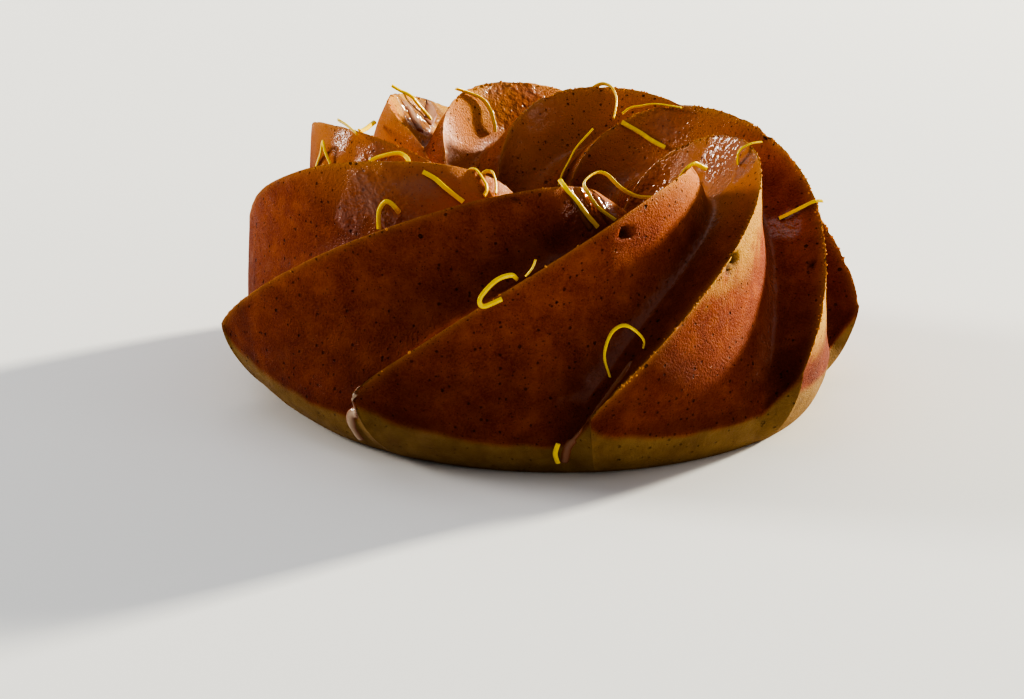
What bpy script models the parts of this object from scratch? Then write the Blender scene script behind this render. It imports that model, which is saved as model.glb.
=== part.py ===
"""A butter cake baked in a swirled ring tin, with curls of lemon zest on it.

The cake stands on z = 0, with its front towards -Y and its box centred on the Z axis. Everything
is in metres. The cake is one lofted skin: each of its rows runs round the cake, and each fold
of a row falls from a sharp crest over a broad face to a valley, and then climbs a steep step to
the next crest. The curls of zest are flat strips that stand just clear of the skin.
"""

import math

import bpy
from mathutils import Vector
from mathutils.bvhtree import BVHTree

# The driving sizes of the cake, whose height is counted from the tips
TIP_RADIUS = 0.118
TIP_HEIGHT = 0.0283
FOLDS = 9
FIRST_TIP_DEG = -73.6

# Where the hole's axis stands: the tips are uneven, so the box's middle is a little beside it
HOLE_CENTRE = (-0.00256, 0.0021, 0)

# How far each fold has drifted from an even spacing, in degrees, from the left front one on
FOLD_DRIFT_DEG = (-1.3, 1.8, 3.0, 4.0, 4.1, -3.4, -5.0, -4.5, -3.7)

# How much of the first station each fold's tip is cut short at the rim, or runs on past it
TIP_CUT = (0.2, 0.0, -0.12, 0.0, 0.0, 0.0, 0.0, 0.1, 0.3)

# Stations along a fold, from its tip over the top and down the hole. Each holds the crest's
# radius and height over the tips, then the valley's, as shares of TIP_RADIUS, then the turn
# about Z from the tip in degrees, the valley's place in the fold, and how blunt the crest is.
STATIONS = (
    (1.000, 0.000, 0.905, -0.120, 0.0, 0.90, 0.40),
    (0.978, 0.095, 0.875, 0.010, 6.5, 0.85, 0.85),
    (0.905, 0.265, 0.785, 0.180, 21.0, 0.80, 1.00),
    (0.812, 0.420, 0.690, 0.310, 39.0, 0.78, 1.00),
    (0.705, 0.525, 0.600, 0.378, 59.0, 0.78, 1.00),
    (0.590, 0.545, 0.515, 0.378, 80.0, 0.78, 1.00),
    (0.475, 0.485, 0.430, 0.320, 97.0, 0.78, 1.00),
    (0.370, 0.370, 0.350, 0.210, 109.0, 0.78, 1.00),
    (0.305, 0.200, 0.298, 0.080, 116.0, 0.78, 1.00),
    (0.272, 0.000, 0.270, -0.050, 119.0, 0.78, 1.00),
)
VALLEY_ROUNDING = 5
STEP_CURVE = 1.6

# How far in over the hole each fold's inner end leans, and how much its top stands over the
# stations' heights, as shares of TIP_RADIUS, with how much of each a station takes
FOLD_REACH = (0, 0, 0, 0, 0, 0, 0.090, 0.090, 0.085)
FOLD_RISE = (-0.008, 0, 0, 0, 0.004, 0.011, 0.016, 0.023, 0.018)
REACH_SHARES = (0, 0, 0, 0, 0.1, 0.6, 1, 0.7, 0.25, 0)
RISE_SHARES = (0, 0, 0.3, 0.8, 1, 1, 1, 1.3, 0.8, 0)

# The pale underside, as shares of TIP_RADIUS: its flat, which spreads to the front right, and
# the foot of the hole
BASE_RADIUS = 0.80
BASE_SHIFT = (0.05, -0.04)
HOLE_FOOT_RADIUS = 0.265
HOLE_FOOT_ROUND = 0.03
DOME_SPREAD = 1.5
DOME_DROP = 1.4

ROWS_PER_STATION = 3
DOME_ROWS = 4
FACE_COLUMNS = 7
STEP_COLUMNS = 4
SHARP_ANGLE_DEG = 35
RAY_NUDGE = 1e-6

# The lemon zest: flat strips, whose routes are points along their middles, in millimetres
ZEST_WIDTH = 0.0017
ZEST_THICKNESS = 0.0008
ZEST_STEP = 0.0022
CLEARANCE = 0.0004
LIFT_TURNS = 30
ZEST_ROUTES = {
    "zest_tent": ((-81, 3, 79), (-79, -2, 85), (-78, -5, 90), (-77, -7, 87), (-75, -9, 83)),
    "zest_left_crest": ((-72, -8, 99), (-69, -11, 98), (-65, -16, 96)),
    "zest_left_thread": ((-65, -11, 95), (-63, 8, 92), (-61, 26, 90)),
    "zest_cone_thread": ((-57, 66, 94), (-53, 66, 91), (-49, 65, 88), (-46, 66, 84),
                         (-43, 66, 80)),
    "zest_inner_left": ((-60, -24, 88), (-58, -23, 89), (-55, -23, 90), (-50, -23, 91),
                        (-47, -25, 90), (-46, -29, 89)),
    "zest_left_drape": ((-40, -53, 92), (-36, -54, 90), (-33, -56, 88), (-29, -57, 85),
                        (-26, -58, 83)),
    "zest_left_arch": ((-55, -58, 73), (-55, -58, 79), (-53, -60, 83), (-51, -60, 83),
                       (-49, -60, 81), (-48, -58, 79)),
    "zest_coil_near": ((-25, -44, 89), (-23, -46, 91), (-21, -48, 90), (-19, -50, 88),
                       (-18, -52, 86), (-19, -54, 84)),
    "zest_coil_far": ((-20, -43, 87), (-19, -44, 90), (-17, -44, 90), (-16, -46, 90),
                      (-15, -48, 87), (-15, -51, 84)),
    "zest_finger": ((-32, 57, 95), (-27, 62, 92), (-23, 64, 90), (-20, 64, 87), (-18, 62, 83),
                    (-17, 60, 78)),
    "zest_back_loop": ((20, 71, 91), (24, 70, 94), (27, 68, 94), (29, 66, 91), (29, 62, 88),
                       (28, 58, 84)),
    "zest_back_crest": ((31, 50, 88), (34, 51, 90), (38, 50, 91), (42, 48, 92), (48, 46, 92),
                        (53, 43, 92)),
    "zest_back_drape": ((31, 48, 85), (38, 44, 82), (42, 41, 80), (47, 38, 78)),
    "zest_hole_thread": ((20, 50, 82), (14, 46, 76), (11, 43, 71), (9, 41, 67), (8, 40, 62)),
    "zest_front_drape": ((7, -66, 93), (9, -70, 91), (12, -70, 88), (16, -68, 82), (20, -67, 77)),
    "zest_front_curl": ((26, -65, 79), (20, -64, 83), (17, -64, 87), (15, -62, 91), (19, -56, 93),
                        (23, -54, 92), (28, -53, 87), (34, -53, 84), (42, -52, 84), (48, -48, 88),
                        (53, -44, 93), (58, -38, 90)),
    "zest_right_crest": ((71, -17, 86), (71, -17, 91), (75, -14, 93), (79, -11, 93)),
    "zest_right_valley": ((86, -15, 66), (92, -15, 69), (97, -14, 71), (101, -12, 71)),
    "zest_low_loop": ((24, -101, 35), (22, -103, 43), (24, -104, 51), (28, -104, 54),
                      (32, -103, 52), (35, -101, 48), (35, -100, 45)),
    "zest_front_loop": ((-12, -105, 63), (-18, -107, 61), (-19, -107, 64), (-14, -104, 69),
                        (-9, -101, 70), (-7, -99, 68)),
    "zest_front_spike": ((-4, -100, 69), (-2, -100, 72), (-1, -100, 75)),
    "zest_foot": ((7, -109, 14), (6, -108, 10), (7, -106, 6)),
}


def catmull(values, place):
    """The smooth curve through evenly spaced values, at place counted in steps."""
    last = len(values) - 1
    i = min(int(place), last - 1)
    t = place - i
    a, b, c, d = (values[min(max(i + k, 0), last)] for k in (-1, 0, 1, 2))
    if i == 0:
        a = 2 * b - c
    if i == last - 1:
        d = 2 * c - b
    return 0.5 * (2 * b + (c - a) * t + (2 * a - 5 * b + 4 * c - d) * t * t
                  + (3 * b - a - 3 * c + d) * t ** 3)


def fall(face, step, blunt):
    """How far a fold has fallen, from crest (0) to valley (1).

    face runs from 0 at the crest to 1 at the valley, and step from there to 1 at the next crest.
    """
    if step > 0:
        return 1 - step ** STEP_CURVE
    w = face ** blunt
    return (VALLEY_ROUNDING * w - w ** VALLEY_ROUNDING) / (VALLEY_ROUNDING - 1)


def fold_angle(place):
    """The angle of the tip line, in radians, at place counted in folds from the first one."""
    fold = math.floor(place)
    here = FOLD_DRIFT_DEG[fold % FOLDS]
    after = FOLD_DRIFT_DEG[(fold + 1) % FOLDS]
    drift = here + (after - here) * (place - fold)
    return math.radians(FIRST_TIP_DEG + 360 / FOLDS * place + drift)


def between_folds(values, fold, across):
    """The value at a place that goes from one fold (0) to the next one (1)."""
    return values[fold] + (values[(fold + 1) % FOLDS] - values[fold]) * across


def cake_point(station, fold, face, step):
    """A point of the cake's side, at a station along a fold and a place across it."""
    across = (face + step) / 2
    if station < 1:
        station += between_folds(TIP_CUT, fold, across) * (1 - station)
    crest_r, crest_z, valley_r, valley_z, turn, valley, blunt = (
        catmull([row[i] for row in STATIONS], station) for i in range(7))
    share = fall(face, step, min(blunt, 1))
    reach = between_folds(FOLD_REACH, fold, across) * catmull(REACH_SHARES, station)
    rise = between_folds(FOLD_RISE, fold, across) * catmull(RISE_SHARES, station)
    radius = TIP_RADIUS * (crest_r + (valley_r - crest_r) * share - reach)
    height = TIP_HEIGHT + TIP_RADIUS * (crest_z + (valley_z - crest_z) * share + rise)
    angle = fold_angle(fold + valley * face + (1 - valley) * step) + math.radians(turn)
    return Vector((radius * math.sin(angle), -radius * math.cos(angle), height))


def dome_point(rim, share):
    """A point of the pale underside between the rim (0) and the flat base (1)."""
    outward = Vector((rim.x, rim.y, 0)).normalized()
    base = TIP_RADIUS * (Vector((*BASE_SHIFT, 0)) + outward * BASE_RADIUS)
    point = rim.lerp(base, share ** DOME_SPREAD)
    point.z = rim.z * (1 - share) ** DOME_DROP
    return point


def columns():
    """The columns of the mesh as (fold, face, step), with one on every crest and valley."""
    places = []
    for fold in range(FOLDS):
        places += [(fold, i / FACE_COLUMNS, 0) for i in range(FACE_COLUMNS)]
        places += [(fold, 1, i / STEP_COLUMNS) for i in range(STEP_COLUMNS)]
    return places


def cake_rows():
    """The rows of points of the whole skin, from the base's edge up, over and down the hole."""
    places = columns()
    rims = [cake_point(0, *place) for place in places]
    rows = [[dome_point(rim, 1 - i / DOME_ROWS) for rim in rims] for i in range(DOME_ROWS)]
    count = ROWS_PER_STATION * (len(STATIONS) - 1)
    rows += [[cake_point(i / ROWS_PER_STATION, *place) for place in places]
             for i in range(count + 1)]
    foot = TIP_RADIUS * HOLE_FOOT_RADIUS
    rounding = TIP_RADIUS * HOLE_FOOT_ROUND
    for radius, height in ((foot, rounding), (foot + rounding, 0)):
        rows.append([Vector((p.x, p.y, 0)).normalized() * radius + Vector((0, 0, height))
                     for p in rows[-1]])
    return rows


def closed_object(name, points, faces):
    """A mesh object from points that are given about the hole's axis."""
    mesh = bpy.data.meshes.new(name)
    mesh.from_pydata(points, [], faces)
    mesh.validate()
    thing = bpy.data.objects.new(name, mesh)
    thing.location = HOLE_CENTRE
    bpy.context.scene.collection.objects.link(thing)
    return thing


def loft(name, rows):
    """A closed skin that joins each row of points to the next, and the last row to the first."""
    points = [p for row in rows for p in row]
    around = len(rows[0])
    faces = []
    for r in range(len(rows)):
        for c in range(around):
            here = r * around
            above = (r + 1) % len(rows) * around
            after = (c + 1) % around
            faces.append((here + c, here + after, above + after, above + c))
    thing = closed_object(name, points, faces)
    thing.data.shade_smooth()
    thing.data.set_sharp_from_angle(angle=math.radians(SHARP_ANGLE_DEG))
    return thing


def smooth_route(route):
    """Evenly spaced points on the smooth curve through a route given in millimetres."""
    marks = [Vector(mark) / 1000 for mark in route]
    length = sum((b - a).length for a, b in zip(marks, marks[1:]))
    count = max(4, round(length / ZEST_STEP))
    spans = len(marks) - 1
    return [Vector([catmull([mark[i] for mark in marks], spans * k / count) for i in range(3)])
            for k in range(count + 1)]


def section(middle, along, width):
    """The four corners of a strip's rectangular section."""
    flat = along.cross(width).normalized()
    half = width * ZEST_WIDTH / 2
    depth = flat * ZEST_THICKNESS / 2
    return [middle - half - depth, middle + half - depth, middle + half + depth,
            middle - half + depth]


def sections(middles, skin):
    """The sections along a strip, which starts flat on the skin and turns no more than it must."""
    tangents = [(middles[min(i + 1, len(middles) - 1)] - middles[max(i - 1, 0)]).normalized()
                for i in range(len(middles))]
    width = tangents[0].cross(skin.find_nearest(middles[0])[1]).normalized()
    rings = []
    for middle, along in zip(middles, tangents):
        width = (width - along * width.dot(along)).normalized()
        rings.append(section(middle, along, width))
    return rings


def inside(point, skin):
    """Whether a point is inside the closed skin, by the count of faces straight above it."""
    crossings = 0
    spot = skin.ray_cast(point, Vector((0, 0, 1)))[0]
    while spot:
        crossings += 1
        spot = skin.ray_cast(spot + Vector((0, 0, RAY_NUDGE)), Vector((0, 0, 1)))[0]
    return crossings % 2 == 1


def push_off(point, skin):
    """The move that takes a point to its clearance from the skin, or none if it has it."""
    away = point - skin.find_nearest(point)[0]
    if inside(point, skin):
        return -away.normalized() * (away.length + CLEARANCE)
    return away.normalized() * max(CLEARANCE - away.length, 0)


def lift_off(middles, skin):
    """The sections of a strip once it is moved off the skin, at and between its sections."""
    moves = [Vector() for _ in middles]
    for turn in range(LIFT_TURNS):
        rings = sections([m + move for m, move in zip(middles, moves)], skin)
        for i in range(len(rings) - 1):
            for a, b in zip(rings[i], rings[i + 1]):
                push = max((push_off(p, skin) for p in (a, (a + b) / 2, b)), key=lambda v: v.length)
                moves[i] += push / 4
                moves[i + 1] += push / 4
        if turn < LIFT_TURNS / 2:
            padded = [moves[0]] + moves + [moves[-1]]
            moves = [(padded[i] + 2 * padded[i + 1] + padded[i + 2]) / 4 for i in range(len(moves))]
    return sections([m + move for m, move in zip(middles, moves)], skin)


def strip(name, rings):
    """A closed strip through its sections, with flat ends."""
    points = [corner for ring in rings for corner in ring]
    last = len(points)
    faces = [(3, 2, 1, 0), (last - 4, last - 3, last - 2, last - 1)]
    for r in range(len(rings) - 1):
        for c in range(4):
            after = (c + 1) % 4
            faces.append((4 * r + c, 4 * r + after, 4 * r + 4 + after, 4 * r + 4 + c))
    return closed_object(name, points, faces)


def material(name, colour, roughness):
    """A plain finish of one colour."""
    finish = bpy.data.materials.new(name)
    finish.use_nodes = True
    shader = finish.node_tree.nodes["Principled BSDF"]
    shader.inputs["Base Color"].default_value = (*colour, 1)
    shader.inputs["Roughness"].default_value = roughness
    return finish


def main():
    for old in list(bpy.data.objects):
        bpy.data.objects.remove(old)
    cake = loft("cake", cake_rows())
    cake.data.materials.append(material("baked crust", (0.28, 0.09, 0.02), 0.6))
    skin = BVHTree.FromPolygons([v.co for v in cake.data.vertices],
                                [p.vertices for p in cake.data.polygons])
    peel = material("lemon zest", (0.85, 0.52, 0.02), 0.4)
    for name, route in ZEST_ROUTES.items():
        zest = strip(name, lift_off(smooth_route(route), skin))
        zest.data.materials.append(peel)


main()
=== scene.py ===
"""The looks of a butter cake from a swirled ring tin, with thin glaze, lemon zest and crumbs.

Lengths are in metres. The cake stands on z = 0 with its front towards -Y. Its crust repeats the
swirled form of the solid at a much finer pitch, and the strands of zest repeat the solid strips.
"""
from __future__ import annotations

import logging
import math
from dataclasses import dataclass
from enum import Enum
from typing import Any

import bpy
import numpy as np
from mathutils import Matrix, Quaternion, Vector, noise
from mathutils.bvhtree import BVHTree


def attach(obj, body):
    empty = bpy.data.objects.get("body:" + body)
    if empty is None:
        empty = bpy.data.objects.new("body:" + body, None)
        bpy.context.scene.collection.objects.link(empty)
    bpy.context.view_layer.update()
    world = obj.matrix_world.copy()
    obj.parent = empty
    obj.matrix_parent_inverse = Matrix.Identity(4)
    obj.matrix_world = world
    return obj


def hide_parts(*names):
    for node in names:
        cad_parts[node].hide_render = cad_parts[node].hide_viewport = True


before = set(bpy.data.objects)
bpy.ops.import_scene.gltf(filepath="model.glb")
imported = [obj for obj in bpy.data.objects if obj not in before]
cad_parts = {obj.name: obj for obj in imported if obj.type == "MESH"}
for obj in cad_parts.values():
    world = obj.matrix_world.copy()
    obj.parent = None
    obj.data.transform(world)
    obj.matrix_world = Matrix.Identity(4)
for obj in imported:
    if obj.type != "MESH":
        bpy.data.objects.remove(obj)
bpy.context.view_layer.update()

log = logging.getLogger("butter_cake")
MM = 0.001
Colour = tuple[float, float, float, float]
Mark = tuple[float, float, float]
Array = np.ndarray
Piece = bpy.types.Object
Tree = bpy.types.NodeTree
Node = bpy.types.Node
Source = bpy.types.NodeSocket | Node


class Slot(Enum):
    """The record's material slots."""

    CRUST = "crust"
    ZEST = "zest"


def linear(code: str) -> Colour:
    """Turns an sRGB hex colour into the linear colour that a shader takes."""
    digits = code.lstrip("#")
    shares = [int(digits[i:i + 2], 16) / 255 for i in (0, 2, 4)]
    values = [s / 12.92 if s <= 0.04045 else ((s + 0.055) / 1.055) ** 2.4 for s in shares]
    return (values[0], values[1], values[2], 1.0)


def feed(tree: Tree, node: Node, values: dict[Any, Any]) -> None:
    """Gives a node's inputs, by name or index, a socket, a node's first output or a constant."""
    for key, value in values.items():
        value = value.outputs[0] if isinstance(value, Node) else value
        if isinstance(value, bpy.types.NodeSocket):
            tree.links.new(value, node.inputs[key])
        else:
            node.inputs[key].default_value = value


def add_node(tree: Tree, kind: str, settings: dict[str, Any] | None = None,
             links: dict[Any, Any] | None = None) -> Node:
    """Adds one node with its settings, its constant inputs and its links.

    Args:
        tree: The shader or geometry tree that gets the node.
        kind: The node's type name.
        settings: Property values by name.
        links: By input name or index, a socket, a node's first output or a constant.

    Returns:
        The new node.
    """
    node = tree.nodes.new(kind)
    for key, value in (settings or {}).items():
        setattr(node, key, value)
    feed(tree, node, links or {})
    return node


def maths(tree: Tree, operation: str, *values: Source | float) -> Source:
    """Adds one step of arithmetic on sockets and constants."""
    return add_node(tree, "ShaderNodeMath", {"operation": operation}, dict(enumerate(values)))


def mapped(tree: Tree, value: Source, given: tuple[float, float],
           wanted: tuple[float, float] = (0.0, 1.0), curve: str = "LINEAR") -> Source:
    """Maps a value from one range onto another, and holds it at the ends."""
    return add_node(tree, "ShaderNodeMapRange", {"interpolation_type": curve}, {
        "Value": value, "From Min": given[0], "From Max": given[1], "To Min": wanted[0],
        "To Max": wanted[1]})


def noise_at(points: Array, size: float, seed: int) -> Array:
    """Smooth noise with lumps of one size, from about -1 to 1, at each point."""
    shift = Vector((seed * 7.31, seed * 3.17, seed * 5.53))
    return np.array([noise.noise(Vector(p) / size + shift) for p in points])


def smooth_step(low: float, high: float, values: Array) -> Array:
    """Rises smoothly from 0 at low to 1 at high."""
    share = np.clip((values - low) / (high - low), 0, 1)
    return share * share * (3 - 2 * share)


def plateau(values: Array, low: float, full: float, lasts: float, over: float) -> Array:
    """Rises from 0 at low to 1 at full, stays there to lasts and falls to 0 at over."""
    return smooth_step(low, full, values) * smooth_step(over, lasts, values)


def linked(name: str, data: Any) -> Piece:
    """Makes an object of some data, and puts it in the scene."""
    made = bpy.data.objects.new(name, data)
    bpy.context.scene.collection.objects.link(made)
    return made


def new_piece(name: str, points: Array, faces: list[tuple[int, ...]]) -> Piece:
    """Makes a smooth mesh object, at the origin, of points and faces by vertex number."""
    mesh = bpy.data.meshes.new(name)
    mesh.from_pydata(points.tolist(), [], faces)
    mesh.validate()
    mesh.shade_smooth()
    return linked(name, mesh)


def store(piece: Piece, name: str, values: Array) -> None:
    """Keeps one number or one vector for each vertex as a named attribute."""
    kind, field = ("FLOAT", "value") if values.ndim == 1 else ("FLOAT_VECTOR", "vector")
    attribute = piece.data.attributes.new(name, kind, "POINT")
    attribute.data.foreach_set(field, values.astype(np.float32).ravel())


def grown(name: str, source: Piece, tree: Tree, values: dict[str, Any]) -> Piece:
    """Runs a geometry tree on a source mesh, and keeps its result as a plain mesh.

    Args:
        name: The new piece's name.
        source: The object that the tree reads, which is removed afterwards.
        tree: The geometry tree.
        values: The tree's inputs by name.

    Returns:
        The new object, with no modifier.
    """
    modifier = source.modifiers.new(name, "NODES")
    modifier.node_group = tree
    sockets = {s.name: s.identifier for s in tree.interface.items_tree if s.in_out == "INPUT"}
    for key, value in values.items():
        modifier[sockets[key]] = value
    depsgraph = bpy.context.evaluated_depsgraph_get()
    mesh = bpy.data.meshes.new_from_object(source.evaluated_get(depsgraph))
    mesh.name = name
    bpy.data.objects.remove(source)
    return linked(name, mesh)


def geometry_tree(name: str, values: dict[str, Any]) -> Tree:
    """Starts a geometry tree with a geometry input, a geometry output and named inputs.

    Args:
        name: The tree's name.
        values: By name, each further input's value: a number or a material.

    Returns:
        The tree, whose first node is its group input.
    """
    kinds = {float: "NodeSocketFloat", int: "NodeSocketInt"}
    tree = bpy.data.node_groups.new(name, "GeometryNodeTree")
    for way in ("INPUT", "OUTPUT"):
        tree.interface.new_socket("Geometry", in_out=way, socket_type="NodeSocketGeometry")
    for key, value in values.items():
        kind = kinds.get(type(value), "NodeSocketMaterial")
        tree.interface.new_socket(key, in_out="INPUT", socket_type=kind)
    add_node(tree, "NodeGroupInput")
    return tree


def end_tree(tree: Tree, mesh: Source, size: float, detail: float, height: Source) -> None:
    """Ends a geometry tree: its mesh is made real and lumpy, and given its material.

    Args:
        tree: The tree, which has an input named Material.
        mesh: The mesh or the instances that come in.
        size: The size of the lumps.
        detail: The detail of their noise.
        height: Their height.
    """
    real = add_node(tree, "GeometryNodeRealizeInstances", None, {0: mesh})
    spot = add_node(tree, "GeometryNodeInputPosition")
    lumps = add_node(tree, "ShaderNodeTexNoise", None, {
        "Vector": spot, "Scale": 1 / size, "Detail": detail})
    centred = add_node(tree, "ShaderNodeVectorMath", {"operation": "SUBTRACT"}, {
        0: lumps.outputs["Color"], 1: (0.5, 0.5, 0.5)})
    sized = add_node(tree, "ShaderNodeVectorMath", {"operation": "SCALE"}, {
        0: centred, "Scale": height})
    rough = add_node(tree, "GeometryNodeSetPosition", None, {"Geometry": real, "Offset": sized})
    dressed = add_node(tree, "GeometryNodeSetMaterial", None, {
        "Geometry": rough, "Material": tree.nodes[0].outputs["Material"]})
    add_node(tree, "NodeGroupOutput", None, {0: dressed})


@dataclass(frozen=True)
class SwirlForm:
    """The swirled form of the cake, as the tin gave it.

    A place on the side is a station along a fold and a place across it: a whole number for the
    fold, then 0 at its crest, 1 in its valley and 2 at the next crest. Stations below 0 lie on
    the pale underside, down to -1 where it meets the base.
    """

    tip_radius: float = 0.118
    tip_height: float = 0.0283
    folds: int = 9
    first_tip: float = -73.6
    hole_centre: tuple[float, float, float] = (-0.00256, 0.0021, 0)
    drift: tuple[float, ...] = (-1.3, 1.8, 3.0, 4.0, 4.1, -3.4, -5.0, -4.5, -3.7)
    tip_cut: tuple[float, ...] = (0.2, 0.0, -0.12, 0.0, 0.0, 0.0, 0.0, 0.1, 0.3)
    stations: tuple[tuple[float, ...], ...] = (
        (1.000, 0.000, 0.905, -0.120, 0.0, 0.90, 0.40),
        (0.978, 0.095, 0.875, 0.010, 6.5, 0.85, 0.85),
        (0.905, 0.265, 0.785, 0.180, 21.0, 0.80, 1.00),
        (0.812, 0.420, 0.690, 0.310, 39.0, 0.78, 1.00),
        (0.705, 0.525, 0.600, 0.378, 59.0, 0.78, 1.00),
        (0.590, 0.545, 0.515, 0.378, 80.0, 0.78, 1.00),
        (0.475, 0.485, 0.430, 0.320, 97.0, 0.78, 1.00),
        (0.370, 0.370, 0.350, 0.210, 109.0, 0.78, 1.00),
        (0.305, 0.200, 0.298, 0.080, 116.0, 0.78, 1.00),
        (0.272, 0.000, 0.270, -0.050, 119.0, 0.78, 1.00))
    reach: tuple[float, ...] = (0.0, 0.0, 0.0, 0.0, 0.0, 0.0, 0.090, 0.090, 0.085)
    rise: tuple[float, ...] = (-0.008, 0.0, 0.0, 0.0, 0.004, 0.011, 0.016, 0.023, 0.018)
    reach_shares: tuple[float, ...] = (0.0, 0.0, 0.0, 0.0, 0.1, 0.6, 1.0, 0.7, 0.25, 0.0)
    rise_shares: tuple[float, ...] = (0.0, 0.0, 0.3, 0.8, 1.0, 1.0, 1.0, 1.3, 0.8, 0.0)
    valley_rounding: int = 5
    step_power: float = 1.6
    base_radius: float = 0.80
    base_shift: tuple[float, float] = (0.05, -0.04)
    dome_spread: float = 1.5
    dome_drop: float = 1.4
    foot_radius: float = 0.265
    foot_round: float = 0.03

    def along(self, given: tuple[Any, ...], station: Array) -> Array:
        """The values that a table gives for each station, smoothly between its rows."""
        rows = np.array(given, dtype=float).reshape(len(given), -1)
        table = np.vstack([2 * rows[0] - rows[1], rows, 2 * rows[-1] - rows[-2]])
        i = np.clip(np.trunc(station).astype(int), 0, len(rows) - 2)
        t = (station - i)[..., None]
        a, b, c, d = (table[i + k] for k in range(4))
        return 0.5 * (2 * b + (c - a) * t + (2 * a - 5 * b + 4 * c - d) * t * t
                      + (3 * b - a - 3 * c + d) * t ** 3)

    def tip_angle(self, place: Array) -> Array:
        """The angle of the tip line, in radians, at a place counted in folds."""
        fold = np.floor(place).astype(int)
        drift = np.array(self.drift)
        here, after = drift[fold % self.folds], drift[(fold + 1) % self.folds]
        return np.radians(self.first_tip + 360 / self.folds * place
                          + here + (after - here) * (place - fold))

    def between(self, values: tuple[float, ...], fold: Array, across: Array) -> Array:
        """The values at places that go from one fold (0) to the next one (2)."""
        rows = np.array(values)
        here, after = rows[fold % self.folds], rows[(fold + 1) % self.folds]
        return here + (after - here) * across / 2

    def side(self, station: Array, fold: Array, across: Array) -> Array:
        """Points of the crusted side.

        Args:
            station: Stations, of 0 or more.
            fold: The fold of each point.
            across: The place of each point across its fold, from 0 to 2.

        Returns:
            The points about the hole's axis, in a last dimension of three.
        """
        station, fold, across = np.broadcast_arrays(station, fold, across)
        cut = self.between(self.tip_cut, fold, across)
        station = np.where(station < 1, station + cut * (1 - station), station)
        face, step = np.minimum(across, 1), np.maximum(across - 1, 0)
        crest_r, crest_z, valley_r, valley_z, turn, valley, blunt = np.moveaxis(
            self.along(self.stations, station), -1, 0)
        reach = self.between(self.reach, fold, across)
        reach = reach * self.along(self.reach_shares, station)[..., 0]
        rise = self.between(self.rise, fold, across)
        rise = rise * self.along(self.rise_shares, station)[..., 0]
        w = face ** np.minimum(blunt, 1)
        n = self.valley_rounding
        share = np.where(step > 0, 1 - step ** self.step_power, (n * w - w ** n) / (n - 1))
        radius = self.tip_radius * (crest_r + (valley_r - crest_r) * share - reach)
        height = self.tip_height + self.tip_radius * (crest_z + (valley_z - crest_z) * share + rise)
        angle = self.tip_angle(fold + valley * face + (1 - valley) * step) + np.radians(turn)
        return np.stack([radius * np.sin(angle), -radius * np.cos(angle), height], -1)

    def dome(self, rim: Array, share: Array) -> Array:
        """Points of the pale underside, between the rim (0) and the flat base (1)."""
        outward = rim[..., :2] / np.linalg.norm(rim[..., :2], axis=-1, keepdims=True)
        base = self.tip_radius * (np.array(self.base_shift) + outward * self.base_radius)
        flat = rim[..., :2] + (base - rim[..., :2]) * share[..., None] ** self.dome_spread
        height = rim[..., 2] * (1 - share) ** self.dome_drop
        return np.concatenate([flat, height[..., None]], -1)

    def foot(self, rim: Array) -> list[Array]:
        """The two rows that end the hole: its foot, and where it meets the base."""
        outward = rim[..., :2] / np.linalg.norm(rim[..., :2], axis=-1, keepdims=True)
        inner = self.tip_radius * self.foot_radius
        rounding = self.tip_radius * self.foot_round
        rows = []
        for radius, height in ((inner, rounding), (inner + rounding, 0.0)):
            rows.append(np.concatenate([outward * radius, np.full((len(rim), 1), height)], -1))
        return rows


class FinishTree:
    """A new material, its tree and the nodes that the finishes are made of."""

    def __init__(self, name: str) -> None:
        """Makes the material, and reads its object's coordinates."""
        self.material = bpy.data.materials.new(name)
        self.material.use_nodes = True
        self.tree = self.material.node_tree
        self.shader = self.tree.nodes["Principled BSDF"]
        self.where = add_node(self.tree, "ShaderNodeTexCoord").outputs["Object"]

    def noise(self, size: float, detail: float, roughness: float = 0.5) -> Node:
        """Adds noise with lumps of one size."""
        return add_node(self.tree, "ShaderNodeTexNoise", None, {
            "Vector": self.where, "Scale": 1 / size, "Detail": detail, "Roughness": roughness})

    def mark(self, name: str) -> Source:
        """Reads one of the mesh's own attributes."""
        return add_node(self.tree, "ShaderNodeAttribute", {"attribute_name": name}).outputs["Fac"]

    def blend(self, share: Source, under: Source | Colour, over: Source | Colour,
              most: float = 1.0) -> Source:
        """Mixes one colour over another by a share, which is scaled by most."""
        factor = maths(self.tree, "MULTIPLY", share, most)
        return add_node(self.tree, "ShaderNodeMix", {"data_type": "RGBA"}, {
            "Factor": factor, 6: under, 7: over}).outputs[2]

    def bump(self, height: Source, distance: float, strength: float = 0.8) -> Source:
        """Turns a height into a bumped normal."""
        return add_node(self.tree, "ShaderNodeBump", None, {
            "Strength": strength, "Distance": distance, "Height": height})

    def finished(self, inputs: dict[str, Any]) -> bpy.types.Material:
        """Sets or links the shader's own inputs, and gives the material."""
        feed(self.tree, self.shader, inputs)
        return self.material


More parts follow.
